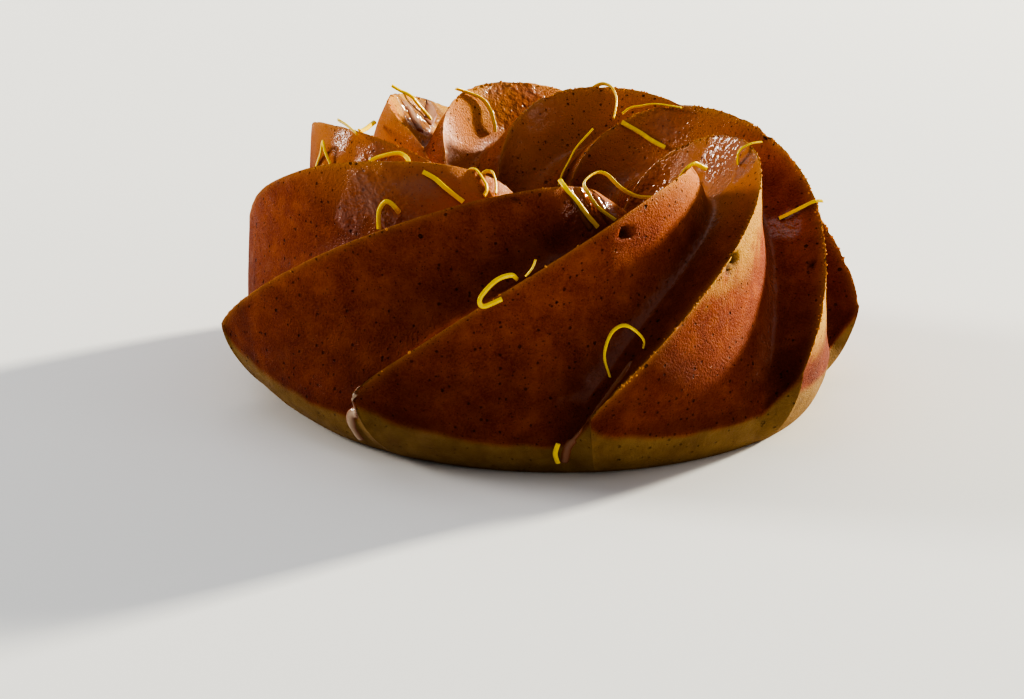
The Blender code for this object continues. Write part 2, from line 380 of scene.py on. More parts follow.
@dataclass(frozen=True)
class CrustFinish:
    """Butter cake crust, browned against a greased tin, over a paler open crumb.

    The sugar in it gives a deep red-brown skin that is lighter on the edges, finely pitted by
    air bells, satin where it is dry and glassy where the glaze has run. Light and shade are
    also painted into its colour: golden strips along the crests and a paler brown on the
    upper faces paint light, and darker colour in the pits and holes, low on the side and on
    the underside paints shade.
    """

    pale: str = "#aa5827"
    middle: str = "#8c3b18"
    deep: str = "#762814"
    # Painted light: the paler brown of the upper faces, which stands for the light they catch.
    painted_light_tan: str = "#c97e3c"
    edge: str = "#d09a52"
    # Painted light: the golden strips where the key light strikes the crests.
    painted_light_strip: str = "#c99c42"
    # Partly scorch, partly painted shade: darkens the rim band and the lower faces.
    scorched_and_shaded: str = "#4e1409"
    # Painted shade in the pores, the air bells and the torn holes.
    pit_shade: str = "#2e0c05"
    # Pale crumb of the underside, painted darker for the shade under the cake.
    foot_light: str = "#9c7a46"
    foot_dark: str = "#64411c"
    wet: str = "#843617"
    milk: str = "#94695a"
    mottle_size: float = 8 * MM
    grain_size: float = 0.8 * MM
    warp: float = 0.5 * MM
    pore_pitch: float = 0.9 * MM
    pit_pitch: float = 2.1 * MM
    bell_pitch: float = 4.2 * MM
    pit_height: float = -1.3
    bell_height: float = -2.2
    ripple_size: float = 2.6 * MM
    ripple_height: float = 1.5
    relief: float = 0.7 * MM
    dry_roughness: float = 0.68
    wet_roughness: float = 0.12
    coat_roughness: float = 0.1
    ior: float = 1.4
    specular: float = 0.25

    def pits(self, tree: Tree, place: Source, pitch: float, widest: float,
             empty: float) -> Source:
        """Adds scattered round pits.

        Args:
            tree: The material's tree.
            place: Where the pattern is read.
            pitch: The spacing of the cells that may hold a pit.
            widest: The largest pit's radius, as a share of the pitch.
            empty: The share of the cells that hold no pit.

        Returns:
            A socket that is 1 within a pit and 0 beside it.
        """
        cells = add_node(tree, "ShaderNodeTexVoronoi", {"feature": "F1"}, {
            "Vector": place, "Scale": 1 / pitch, "Randomness": 1.0})
        chance = add_node(tree, "ShaderNodeSeparateColor", None, {"Color": cells.outputs["Color"]})
        radius = mapped(tree, chance, (empty, 1.0), (0.0, widest))
        inside = maths(tree, "SUBTRACT", radius, cells.outputs["Distance"])
        return mapped(tree, inside, (0.0, widest * 0.45), curve="SMOOTHSTEP")

    def material(self) -> bpy.types.Material:
        """Builds the crust's material, which reads the crust's attributes."""
        base = FinishTree("browned_butter_cake_crust")
        tree = base.tree
        mottle = base.noise(self.mottle_size, 5.0, 0.6).outputs["Fac"]
        grain = base.noise(self.grain_size, 3.0, 0.65).outputs
        warped = add_node(tree, "ShaderNodeVectorMath", {"operation": "MULTIPLY_ADD"}, {
            0: grain["Color"], 1: (self.warp,) * 3, 2: base.where})
        fine = self.pits(tree, warped, self.pit_pitch, 0.3, 0.3)
        pores = self.pits(tree, warped, self.pore_pitch, 0.38, 0.3)
        bells = self.pits(tree, warped, self.bell_pitch, 0.22, 0.72)
        wet = base.mark("wet")
        tone = add_node(tree, "ShaderNodeValToRGB", None, {"Fac": mottle})
        stops = tone.color_ramp.elements
        stops[0].position, stops[0].color = 0.30, linear(self.deep)
        stops[1].position, stops[1].color = 0.72, linear(self.pale)
        stops.new(0.5).color = linear(self.middle)
        speck = mapped(tree, grain["Fac"], (0.35, 0.75))
        # The underside's crumb, painted darker for its shade, and darker still in its pits.
        crumb = base.blend(mottle, linear(self.foot_dark), linear(self.foot_light), 1.25)
        crumb = base.blend(fine, crumb, linear(self.foot_dark), 0.5)
        colour: Source = tone
        for share, layer, most in (
                # Painted light: the golden, paler brown of the upper faces.
                (speck, linear(self.pale), 0.7), (base.mark("upper_painted_light"), linear(self.painted_light_tan), 0.85),
                # Scorch on the rim band, and painted shade low on the side.
                (base.mark("scorch_and_low_shade"), linear(self.scorched_and_shaded), 0.6),
                (base.mark("crest"), linear(self.edge), 0.75),
                # Painted light: the golden strips where the key light strikes the crests.
                (base.mark("painted_light_strip"), linear(self.painted_light_strip), 0.72), (pores, linear(self.pit_shade), 0.6),
                # Painted shade: the pit colour darkens the pores, the air bells and the torn holes.
                (fine, linear(self.pit_shade), 0.55), (bells, linear(self.pit_shade), 0.7),
                (base.mark("dent"), linear(self.pit_shade), 0.95), (base.mark("foot"), crumb, 1.0),
                (wet, linear(self.wet), 0.4), (base.mark("milk"), linear(self.milk), 0.4)):
            colour = base.blend(share, colour, layer, most)
        pitted = maths(tree, "MULTIPLY_ADD", fine, self.pit_height, grain["Fac"])
        ripple = base.noise(self.ripple_size, 2.0).outputs["Fac"]
        height = add_node(tree, "ShaderNodeMix", {"data_type": "FLOAT"}, {
            "Factor": wet, 2: maths(tree, "MULTIPLY_ADD", bells, self.bell_height, pitted),
            3: maths(tree, "MULTIPLY", ripple, self.ripple_height)})
        relief = base.bump(height, self.relief, 1.0)
        gloss = mapped(tree, wet, (0.0, 1.0), (self.dry_roughness, self.wet_roughness))
        return base.finished({
            "Base Color": colour, "Roughness": gloss, "IOR": self.ior,
            "Specular IOR Level": self.specular, "Coat Weight": wet,
            "Coat Roughness": self.coat_roughness, "Normal": relief, "Coat Normal": relief})


@dataclass(frozen=True)
class GlazeFinish:
    """Thin icing-sugar glaze, poured warm and set.

    It is clear enough to look like wet crust where it is thin, turns milky where it gathers,
    and has a sharp highlight on every small ripple.
    """

    thin: str = "#84401a"
    milky: str = "#c2a78e"
    roughness: float = 0.09
    ior: float = 1.45
    ripple: float = 0.4 * MM
    ripple_size: float = 1.5 * MM

    def material(self) -> bpy.types.Material:
        """Builds the glaze's material, which turns milky where the film is deep."""
        base = FinishTree("icing_sugar_glaze")
        waves = base.noise(self.ripple_size, 1.0).outputs["Fac"]
        return base.finished({
            "Base Color": base.blend(base.mark("milk"), linear(self.thin), linear(self.milky)),
            "Roughness": self.roughness, "IOR": self.ior,
            "Normal": base.bump(waves, self.ripple)})


@dataclass(frozen=True)
class PeelFinish:
    """Lemon peel pared with a channel knife.

    Its outer side is a strong waxy yellow with oil pores a millimetre apart, and its inner side
    is pale pith.
    """

    rind: str = "#ffe41c"
    rind_deep: str = "#f4c800"
    pith: str = "#f2e08a"
    roughness: float = 0.32
    tint_size: float = 3 * MM
    pore_pitch: float = 0.8 * MM
    relief: float = 0.12 * MM

    def material(self) -> bpy.types.Material:
        """Builds the peel's material, which takes the pith's share from an attribute."""
        base = FinishTree("lemon_peel")
        tint = base.noise(self.tint_size, 2.0).outputs["Fac"]
        rind = base.blend(tint, linear(self.rind_deep), linear(self.rind))
        pores = add_node(base.tree, "ShaderNodeTexVoronoi", None, {
            "Vector": base.where, "Scale": 1 / self.pore_pitch})
        return base.finished({
            "Base Color": base.blend(base.mark("pith"), rind, linear(self.pith)),
            "Roughness": self.roughness,
            "Normal": base.bump(pores.outputs["Distance"], self.relief)})


@dataclass(frozen=True)
class CrumbFinish:
    """Torn cake crumb, baked but not browned, which shows as dry, light orange specks."""

    light: str = "#eab060"
    dark: str = "#c07030"
    roughness: float = 0.8
    cell_size: float = 1.5 * MM

    def material(self) -> bpy.types.Material:
        """Builds the crumbs' material, mottled at the size of the crumb's cells."""
        base = FinishTree("torn_cake_crumb")
        cells = base.noise(self.cell_size, 3.0).outputs["Fac"]
        tone = base.blend(cells, linear(self.dark), linear(self.light))
        return base.finished({"Base Color": tone, "Roughness": self.roughness})


@dataclass(frozen=True)
class Spot:
    """A round place, in millimetres about the hole's axis, and how deep or how wet it is."""

    centre: Mark
    radius: float
    depth: float

    def gaps(self, points: Array) -> Array:
        """How far each point is from the middle, in radii."""
        return np.linalg.norm(points - np.array(self.centre) * MM, axis=1) / (self.radius * MM)


def spots(*rows: tuple[float, float, float, float, float]) -> tuple[Spot, ...]:
    """Makes spots of rows that give a centre, a radius and a depth."""
    return tuple(Spot(row[:3], *row[3:]) for row in rows)


@dataclass(frozen=True)
class Band:
    """A soft-edged stretch of one fold: its places across, its stations and its strength."""

    fold: int
    across: tuple[float, float]
    stations: tuple[float, float]
    strength: float = 1.0


# Holes where an air bell tore open, with their depth in millimetres. Their colour is
# painted shade.
DENTS = spots((29, -84, 80, 2.8, 2.6), (67, -75, 68, 3.0, 2.4), (64, -78, 66, 2.2, 1.6),
    (-56, -89, 26, 1.9, 1.6), (84, 21, 88, 2.2, 1.6), (-8, -76, 89, 1.6, 1.2),
    (96, -37, 56, 1.8, 1.0), (-80, 0, 72, 1.6, 1.1), (76, -18, 90, 1.8, 1.2),
    (46, 88, 70, 2.4, 1.8), (-62, 84, 60, 2.6, 2.0), (10, 104, 52, 2.0, 1.6))
# Where the glaze wets the crust, with how wet it is.
WET_SPOTS = spots((-47, -57, 83, 15, 1.0), (-36, -59, 84, 13, 0.9), (-60, -51, 84, 9, 1.0),
    (-66, -50, 74, 6, 0.9), (-24, -60, 84, 10, 0.7), (15, -67, 82, 9, 1.0), (22, -62, 77, 9, 1.0),
    (64, -1, 86, 12, 1.0), (69, -6, 90, 8, 1.0), (65, -13, 79, 9, 0.8), (72, -22, 87, 7, 1.0),
    (-50, 58, 83, 10, 1.0), (-42, 73, 82, 9, 1.0), (36, 30, 68, 14, 1.0), (42, 19, 70, 9, 1.0),
    (-10, 73, 87, 14, 0.9), (88, -18, 64, 8, 0.8), (-70, -6, 90, 6, 0.8), (-60, -22, 87, 9, 0.8),
    (-44, -31, 80, 9, 0.7), (56, -45, 74, 8, 0.8), (49, 46, 86, 12, 0.8), (0, 60, 86, 10, 0.7),
    (60, -38, 88, 6, 0.9))
# The station where the painted light, a paler brown that stands for light on the upper
# faces, starts on each fold's face and on its step.
PAINTED_LIGHT_FROM_ON_FACES = (4.4, 3.4, 2.6, 2.6, 2.6, 2.6, 2.6, 2.6, 2.9)
PAINTED_LIGHT_FROM_ON_STEPS = (2.6, 2.6, 3.3, 2.6, 2.6, 2.6, 2.6, 2.6, 2.6)
# Golden strips of painted light along the crests, where the key light strikes, and milky
# glaze stretches in the valleys.
PAINTED_LIGHT_BANDS = (
    Band(2, (-0.3, 0.38), (2.2, 4.3)), Band(3, (-0.3, 0.42), (0.6, 3.9)),
    Band(1, (-0.3, 0.0), (4.0, 4.6), 0.25), Band(4, (1.4, 2.3), (4.4, 5.1), 0.5),
    Band(5, (1.3, 2.3), (2.1, 4.4)))
MILKY_BANDS = (Band(1, (0.9, 1.12), (0.9, 4.3), 0.8), Band(2, (0.88, 1.1), (0.9, 3.6), 0.9))


@dataclass
class CakeBody:
    """The cake: one closed skin from the base's edge up over the folds and down the hole."""

    form: SwirlForm
    dome_rows: int = 20
    rows_per_station: tuple[int, ...] = (12, 22, 24, 24, 24, 18, 14, 8, 6)
    face_columns: int = 40
    step_columns: int = 20
    crest_pull: float = 1.35
    swell: float = 0.35 * MM
    swell_size: float = 24 * MM
    lumps: float = 0.12 * MM
    lump_size: float = 6 * MM
    notch: float = 1.5 * MM
    notch_size: float = 2.6 * MM
    worn_width: float = 1.5 * MM
    edge_width: float = 1.6 * MM
    crumb_width: float = 0.9 * MM
    wet_wobble: float = 5 * MM
    scorch_and_shade_size: float = 12 * MM
    milk_size: float = 8 * MM
    band_wobble: float = 4 * MM
    band_ends: float = 0.4
    painted_light_edge: float = 0.25
    milky_edge: float = 0.07
    crumbly: tuple[float, ...] = (0.25, 0.3, 0.8, 1.0, 1.0, 0.7, 0.5, 0.4, 0.25)

    def columns(self) -> tuple[Array, Array]:
        """The fold and the place across it of every column, closer together near the crests."""
        face = (np.arange(self.face_columns) / self.face_columns) ** self.crest_pull
        step = 2 - (1 - np.arange(self.step_columns) / self.step_columns) ** self.crest_pull
        across = np.concatenate([face, step])
        fold = np.repeat(np.arange(self.form.folds), len(across))
        return fold, np.tile(across, self.form.folds)

    def stations(self) -> Array:
        """The stations of the rows on the side."""
        rows = [i + k / n for i, n in enumerate(self.rows_per_station) for k in range(n)]
        return np.array([*rows, float(len(self.rows_per_station))])

    def skin(self) -> dict[str, Array]:
        """The skin's rows of points, with each point's station, fold, place and crest gap."""
        fold, across = self.columns()
        side_rows = self.stations()
        side = self.form.side(side_rows[:, None], fold[None], across[None])
        shares = 1 - np.arange(self.dome_rows) / self.dome_rows
        dome = np.stack([self.form.dome(side[0], np.full(len(fold), s)) for s in shares])
        rows = np.concatenate([dome, side, np.stack(self.form.foot(side[-1]))])
        station = np.concatenate([-shares, side_rows, [9.5, 10.0]])
        own = self.form.side(side_rows[:, None], fold[None], np.zeros(len(across))[None])
        after = self.form.side(side_rows[:, None], fold[None] + 1, np.zeros(len(across))[None])
        gap = np.minimum(np.linalg.norm(side - own, axis=-1), np.linalg.norm(side - after, axis=-1))
        crest_gap = np.full(rows.shape[:2], 0.05)
        crest_gap[self.dome_rows:-2] = gap
        size = rows.shape[0]
        return {"points": rows.reshape(-1, 3), "station": np.repeat(station, len(fold)),
                "fold": np.tile(fold, size), "across": np.tile(across, size),
                "gap": crest_gap.ravel(), "shape": np.array([size, len(fold)])}

    def faces(self, rows: int, around: int) -> list[tuple[int, ...]]:
        """The four-sided faces that join each row to the next, and the last to the first."""
        made = []
        for r in range(rows):
            here, above = r * around, (r + 1) % rows * around
            for c in range(around):
                after = (c + 1) % around
                made.append((here + c, here + after, above + after, above + c))
        return made

    def banded(self, bands: tuple[Band, ...], edge: float, skin: dict[str, Array],
               ragged: Array) -> Array:
        """How far each point lies within some bands, from 0 to 1.

        Args:
            bands: The bands.
            edge: How wide their soft edges are across a fold.
            skin: The skin's marks, by name.
            ragged: Noise that makes the edges uneven.

        Returns:
            One value for each point.
        """
        share = np.zeros(len(ragged))
        ends = self.band_ends
        place, station = skin["across"] + ragged * edge, skin["station"] + ragged * ends
        for band in bands:
            (left, right), (low, high) = band.across, band.stations
            inside = plateau(place, left - edge, left + edge, right - edge, right + edge)
            inside = inside * plateau(station, low - ends, low + ends, high - ends, high + ends)
            share = np.maximum(share, band.strength * inside * (skin["fold"] == band.fold))
        return share

    def wetness(self, skin: dict[str, Array]) -> Array:
        """How far the glaze covers each point, from 0 to 1."""
        points, station = skin["points"], skin["station"]
        wet = np.zeros(len(points))
        wobble = 0.3 * noise_at(points, self.wet_wobble, 5)
        for spot in WET_SPOTS:
            wet = np.maximum(wet, spot.depth * smooth_step(1.15, 0.7, spot.gaps(points) + wobble))
        lined = np.exp(-((skin["across"] - 1) / 0.22) ** 2) * smooth_step(2.0, 3.2, station)
        ring = plateau(station, 5.2, 6.4, 7.4, 8.6)
        return np.clip(np.maximum(wet, np.maximum(0.7 * lined, 0.55 * ring + wobble * 0.4)), 0, 1)

    def marks(self, skin: dict[str, Array], loose: Array) -> dict[str, Array]:
        """The values that the crust's material and the crumbs read.

        Args:
            skin: The skin's marks, by name.
            loose: How crumbly the nearest crest is at each point.

        Returns:
            One value for each point, by the attribute's name.
        """
        points, station, gap = skin["points"], skin["station"], skin["gap"]
        fold = skin["fold"] % self.form.folds
        on_side = smooth_step(-0.16, 0.0, station)
        # Darker low on the side: scorch on the rim band, and painted shade on the lower faces.
        outer = np.maximum(smooth_step(0.55, 0.1, station), 0.8 * smooth_step(2.4, 0.6, station))
        scorch_and_shade = outer * on_side * (0.9 + 0.5 * noise_at(points, self.scorch_and_shade_size, 8))
        lowest = np.where(skin["across"] > 1, np.array(PAINTED_LIGHT_FROM_ON_STEPS)[fold],
                          np.array(PAINTED_LIGHT_FROM_ON_FACES)[fold])
        ragged = noise_at(points, self.band_wobble, 12)
        film = self.banded(MILKY_BANDS, self.milky_edge, skin, ragged)
        wet = np.maximum(self.wetness(skin), film)
        return {
            "crest": np.exp(-gap / self.edge_width) * (0.45 + 0.55 * loose),
            "foot": smooth_step(-0.02, -0.13, station + 0.05 * noise_at(points, 9 * MM, 7)),
            "scorch_and_low_shade": np.clip(scorch_and_shade, 0, 1),
            # Painted light: a paler brown on the upper faces.
            "upper_painted_light": plateau(station, lowest, lowest + 1.6, 6.2, 7.6),
            # Painted light: golden strips where the key light strikes the crests.
            "painted_light_strip": self.banded(PAINTED_LIGHT_BANDS, self.painted_light_edge, skin, ragged),
            "wet": wet,
            "milk": np.maximum(
                film, wet * smooth_step(-0.1, 0.5, noise_at(points, self.milk_size, 9))),
            "crumbly": np.exp(-(gap / self.crumb_width) ** 2) * loose ** 2
            * smooth_step(0.2, 0.8, station) * smooth_step(6.5, 5.5, station)}

    def build(self) -> Piece:
        """Builds the skin, wears its crests, presses its larger holes and stores its marks.

        Returns:
            The cake's object.
        """
        skin = self.skin()
        points = skin["points"]
        piece = new_piece("cake_crust", points, self.faces(*skin["shape"].tolist()))
        normals = np.empty(len(points) * 3, dtype=np.float32)
        piece.data.vertex_normals.foreach_get("vector", normals)
        nearest = (skin["fold"] + (skin["across"] > 1)) % self.form.folds
        loose = np.array(self.crumbly)[nearest]
        move = self.swell * noise_at(points, self.swell_size, 1)
        move += self.lumps * noise_at(points, self.lump_size, 2)
        bite = noise_at(points, self.notch_size, 3) + 0.35 * noise_at(points, 9 * MM, 4) - 0.1
        worn = np.exp(-(skin["gap"] / self.worn_width) ** 2)
        move -= self.notch * loose * np.clip(bite, 0, 1) * worn
        dent = np.zeros(len(points))
        for spot in DENTS:
            away = spot.gaps(points)
            near = away < 1.4
            away[near] += 0.22 * noise_at(points[near], 1.6 * MM, 6)
            shape = np.clip(1 - away ** 2, 0, 1) ** 0.8
            move -= spot.depth * MM * shape
            dent = np.maximum(dent, shape)
        move *= plateau(skin["station"], -1.0, -0.7, 8.5, 9.0)
        moved = points + normals.reshape(-1, 3) * move[:, None] + np.array(self.form.hole_centre)
        piece.data.vertices.foreach_set("co", moved.astype(np.float32).ravel())
        for name, values in {**self.marks(skin, loose), "dent": dent}.items():
            store(piece, name, values)
        piece.data.update()
        piece.data.materials.append(CrustFinish().material())
        return piece


# Each strand's way over the cake, in millimetres about the hole's axis.
ZEST_ROUTES: dict[str, tuple[Mark, ...]] = {
    "zest_tent": ((-81, 3, 79), (-79, -2, 85), (-78, -5, 90), (-77, -7, 87), (-75, -9, 83)),
    "zest_left_crest": ((-72, -8, 99), (-69, -11, 98), (-65, -16, 96)),
    "zest_left_thread": ((-65, -11, 95), (-63, 8, 92), (-61, 26, 90)),
    "zest_cone_thread": ((-57, 66, 94), (-53, 66, 91), (-49, 65, 88), (-46, 66, 84), (-43, 66, 80)),
    "zest_inner_left": ((-60, -24, 88), (-58, -23, 89), (-55, -23, 90), (-50, -23, 91),
        (-47, -25, 90), (-46, -29, 89)),
    "zest_left_drape": ((-40, -53, 92), (-36, -54, 90), (-33, -56, 88), (-29, -57, 85),
        (-26, -58, 83)),
    "zest_left_arch": ((-55, -58, 73), (-55, -58, 79), (-53, -60, 83), (-51, -60, 83),
        (-49, -60, 81), (-48, -58, 79)),
    "zest_coil_near": ((-25, -44, 89), (-23, -46, 91), (-21, -48, 90), (-19, -50, 88),
        (-18, -52, 86), (-19, -54, 84)),
    "zest_coil_far": ((-20, -43, 87), (-19, -44, 90), (-17, -44, 90), (-16, -46, 90),
        (-15, -48, 87), (-15, -51, 84)),
    "zest_finger": ((-32, 57, 95), (-27, 62, 92), (-23, 64, 90), (-20, 64, 87), (-18, 62, 83),
        (-17, 60, 78)),
    "zest_back_loop": ((20, 71, 91), (24, 70, 94), (27, 68, 94), (29, 66, 91), (29, 62, 88),
        (28, 58, 84)),
    "zest_back_crest": ((31, 50, 88), (34, 51, 90), (38, 50, 91), (42, 48, 92), (48, 46, 92),
        (53, 43, 92)),
    "zest_back_drape": ((31, 48, 85), (38, 44, 82), (42, 41, 80), (47, 38, 78)),
    "zest_hole_thread": ((20, 50, 82), (14, 46, 76), (11, 43, 71), (9, 41, 67), (8, 40, 62)),
    "zest_front_drape": ((7, -66, 93), (9, -70, 91), (12, -70, 88), (16, -68, 82), (20, -67, 77)),
    "zest_front_curl": ((26, -65, 79), (20, -64, 83), (17, -64, 87), (15, -62, 91), (19, -56, 93),
        (23, -54, 92), (28, -53, 87), (34, -53, 84), (42, -52, 84), (48, -48, 88), (53, -44, 93),
        (58, -38, 90)),
    "zest_right_crest": ((71, -17, 86), (71, -17, 91), (75, -14, 93), (79, -11, 93)),
    "zest_right_valley": ((86, -15, 66), (92, -15, 69), (97, -14, 71), (101, -12, 71)),
    "zest_low_loop": ((24, -101, 35), (22, -103, 43), (24, -104, 51), (28, -104, 54),
        (32, -103, 52), (35, -101, 48), (35, -100, 45)),
    "zest_front_loop": ((-12, -105, 63), (-18, -107, 61), (-19, -107, 64), (-14, -104, 69),
        (-9, -101, 70), (-7, -99, 68)),
    "zest_front_spike": ((-4, -100, 69), (-2, -100, 72), (-1, -100, 75)),
    "zest_foot": ((7, -109, 14), (6, -108, 10), (7, -106, 6)),
}


@dataclass
class ZestStrands:
    """The curls and strands of lemon zest, which stand just clear of the crust."""

    width: float = 1.7 * MM
    thickness: float = 0.8 * MM
    step: float = 2.2 * MM
    clearance: float = 0.3 * MM
    lift_turns: int = 24
    refine: int = 4
    cup: float = 0.28 * MM
    ragged: float = 0.16 * MM
    ragged_size: float = 1.8 * MM

    def spline(self, marks: list[Vector], count: int) -> list[Vector]:
        """The points that cut the smooth curve through some marks into a count of steps."""
        ends = [2 * marks[0] - marks[1], *marks, 2 * marks[-1] - marks[-2]]
        made = []
        for k in range(count + 1):
            place = (len(marks) - 1) * k / count
            i = min(int(place), len(marks) - 2)
            t = place - i
            a, b, c, d = ends[i:i + 4]
            made.append(0.5 * (2 * b + (c - a) * t + (2 * a - 5 * b + 4 * c - d) * t * t
                               + (3 * b - a - 3 * c + d) * t ** 3))
        return made

    def flats(self, middles: list[Vector], skin: BVHTree) -> list[Vector]:
        """The width direction along a strand, flat on the skin at its start."""
        last = len(middles) - 1
        tangents = [(middles[min(i + 1, last)] - middles[max(i - 1, 0)]).normalized()
                    for i in range(last + 1)]
        width = tangents[0].cross(skin.find_nearest(middles[0])[1]).normalized()
        made = []
        for along in tangents:
            width = (width - along * width.dot(along)).normalized()
            made.append(width.copy())
        return made

    def corners(self, middles: list[Vector], skin: BVHTree) -> list[list[Vector]]:
        """The four corners of the strand's section at each of its middles."""
        last = len(middles) - 1
        rings = []
        for i, width in enumerate(self.flats(middles, skin)):
            along = (middles[min(i + 1, last)] - middles[max(i - 1, 0)]).normalized()
            half = width * self.width / 2
            depth = along.cross(width).normalized() * self.thickness / 2
            rings.append([middles[i] + s * half + t * depth for s in (-1, 1) for t in (-1, 1)])
        return rings

    def inside(self, point: Vector, skin: BVHTree) -> bool:
        """Whether a point is inside the closed skin, by the count of faces straight above it."""
        up, nudge = Vector((0, 0, 1)), Vector((0, 0, 0.001 * MM))
        crossings = 0
        spot = skin.ray_cast(point, up)[0]
        while spot:
            crossings += 1
            spot = skin.ray_cast(spot + nudge, up)[0]
        return crossings % 2 == 1

    def push(self, point: Vector, skin: BVHTree) -> Vector:
        """The move that takes a point to its clearance from the skin."""
        away = point - skin.find_nearest(point)[0]
        if self.inside(point, skin):
            return -away.normalized() * (away.length + self.clearance)
        return away.normalized() * max(self.clearance - away.length, 0)

    def lifted(self, marks: tuple[Mark, ...], centre: Vector, skin: BVHTree) -> list[Vector]:
        """The middles of a strand once it is moved off the crust.

        Args:
            marks: Its route, in millimetres about the hole's axis.
            centre: Where the hole's axis stands.
            skin: The crust's faces.

        Returns:
            The middles, about a step apart.
        """
        route = [Vector(mark) * MM + centre for mark in marks]
        length = sum((b - a).length for a, b in zip(route, route[1:]))
        middles = self.spline(route, max(4, round(length / self.step)))
        moves = [Vector() for _ in middles]
        for turn in range(self.lift_turns):
            rings = self.corners([m + move for m, move in zip(middles, moves)], skin)
            for i in range(len(rings) - 1):
                for a, b in zip(rings[i], rings[i + 1]):
                    push = max((self.push(p, skin) for p in (a, (a + b) / 2, b)),
                               key=lambda v: v.length)
                    moves[i] += push / 4
                    moves[i + 1] += push / 4
            if turn < self.lift_turns / 2:
                ends = [moves[0], *moves, moves[-1]]
                moves = [(ends[i] + 2 * ends[i + 1] + ends[i + 2]) / 4 for i in range(len(moves))]
        return [m + move for m, move in zip(middles, moves)]

    def sweep_tree(self, values: dict[str, Any]) -> Tree:
        """Builds the tree that sweeps a cupped, ragged section along a strand.

        Args:
            values: The tree's inputs, which are the section's sizes and the peel's material.

        Returns:
            The tree.
        """
        tree = geometry_tree("peel_sweep", values)
        given = tree.nodes[0].outputs
        curve = add_node(tree, "GeometryNodeMeshToCurve", None, {"Mesh": given["Geometry"]})
        flat = add_node(tree, "GeometryNodeInputNamedAttribute", {"data_type": "FLOAT_VECTOR"}, {
            "Name": "flat"})
        turned = add_node(tree, "GeometryNodeSetCurveNormal", {"mode": "FREE"}, {
            "Curve": curve, "Normal": flat})
        ring = add_node(tree, "GeometryNodeCurvePrimitiveCircle", {"mode": "RADIUS"}, {
            "Resolution": 16, "Radius": 0.5})
        spot = add_node(tree, "GeometryNodeInputPosition")
        x, y, _ = add_node(tree, "ShaderNodeSeparateXYZ", None, {0: spot}).outputs
        marked = add_node(tree, "GeometryNodeStoreNamedAttribute",
                          {"data_type": "FLOAT", "domain": "POINT"},
                          {"Geometry": ring, "Name": "pith",
                           "Value": mapped(tree, y, (0.1, 0.3), (0.0, 0.8))})
        bowed = maths(tree, "MULTIPLY_ADD", maths(tree, "MULTIPLY", x, x), given["Cup"],
                      maths(tree, "MULTIPLY", y, given["Thickness"]))
        shaped = add_node(tree, "ShaderNodeCombineXYZ", None, {
            0: maths(tree, "MULTIPLY", x, given["Width"]), 1: bowed})
        profile = add_node(tree, "GeometryNodeSetPosition", None, {
            "Geometry": marked, "Position": shaped})
        swept = add_node(tree, "GeometryNodeCurveToMesh", None, {
            "Curve": turned, "Profile Curve": profile, "Fill Caps": True})
        smooth = add_node(tree, "GeometryNodeSetShadeSmooth", None, {0: swept})
        end_tree(tree, smooth, self.ragged_size, 2.0, given["Ragged"])
        return tree

    def build(self, skin: BVHTree, centre: Vector) -> list[Piece]:
        """Builds every strand.

        Args:
            skin: The crust's faces.
            centre: Where the hole's axis stands.

        Returns:
            The strands, each named for the solid strip that it replaces.
        """
        values = {"Width": self.width, "Thickness": self.thickness, "Cup": self.cup,
                  "Ragged": self.ragged, "Material": PeelFinish().material()}
        tree = self.sweep_tree(values)
        made = []
        for name, marks in ZEST_ROUTES.items():
            middles = self.lifted(marks, centre, skin)
            fine = self.spline(middles, (len(middles) - 1) * self.refine)
            line = bpy.data.meshes.new(name)
            line.from_pydata([tuple(p) for p in fine],
                             [(i, i + 1) for i in range(len(fine) - 1)], [])
            source = linked(name + "_line", line)
            store(source, "flat", np.array([tuple(v) for v in self.flats(fine, skin)]))
            ends = np.minimum(np.arange(len(fine)), np.arange(len(fine))[::-1])
            store(source, "radius", np.clip(0.45 + 0.2 * ends, 0, 1))
            piece = grown(name + "_peel", source, tree, values)
            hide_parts(name)
            made.append(piece)
        return made


@dataclass(frozen=True)
class GlazeRun:
    """One run of glaze: marks in millimetres about the hole's axis, each with a half width."""

    marks: tuple[tuple[float, float, float, float], ...]
    thickness: float
    milk: float = 0.3
    fillet: int = 2


GLAZE_RUNS = (
    GlazeRun(((-59, -100, 32, 1.2), (-62, -99, 25, 2.0), (-65, -90, 18, 2.6), (-64, -85, 12, 2.2),
              (-62, -83, 8, 1.8), (-60, -81, 5, 1.4)), 0.9, 0.9),
    GlazeRun(((31, -100, 41, 1.0), (27, -105, 36, 2.2), (22, -110, 30, 2.4), (16, -111, 22, 2.2),
              (12, -109, 16, 1.8), (10, -106, 11, 1.5), (9, -104, 5, 1.6)), 0.7, 0.3, 6),
    GlazeRun(((9, -67, 91, 1.2), (13, -68, 86, 1.6), (16, -68, 80, 1.8), (18, -67, 76, 1.4)), 0.8),
    GlazeRun(((19, -60, 88, 1.4), (22, -61, 82, 2.2), (24, -60, 78, 2.8), (27, -57, 76, 2.6)), 0.9),
    GlazeRun(((-55, 58, 89, 1.8), (-51, 59, 86, 3.2), (-49, 56, 81, 3.6), (-47, 53, 78, 2.4)),
             0.9, 0.6, 5),
    GlazeRun(((-47, 78, 86, 1.6), (-43, 76, 83, 3.0), (-43, 69, 81, 3.2), (-44, 63, 79, 2.4)),
             0.8, 0.5, 5),
)


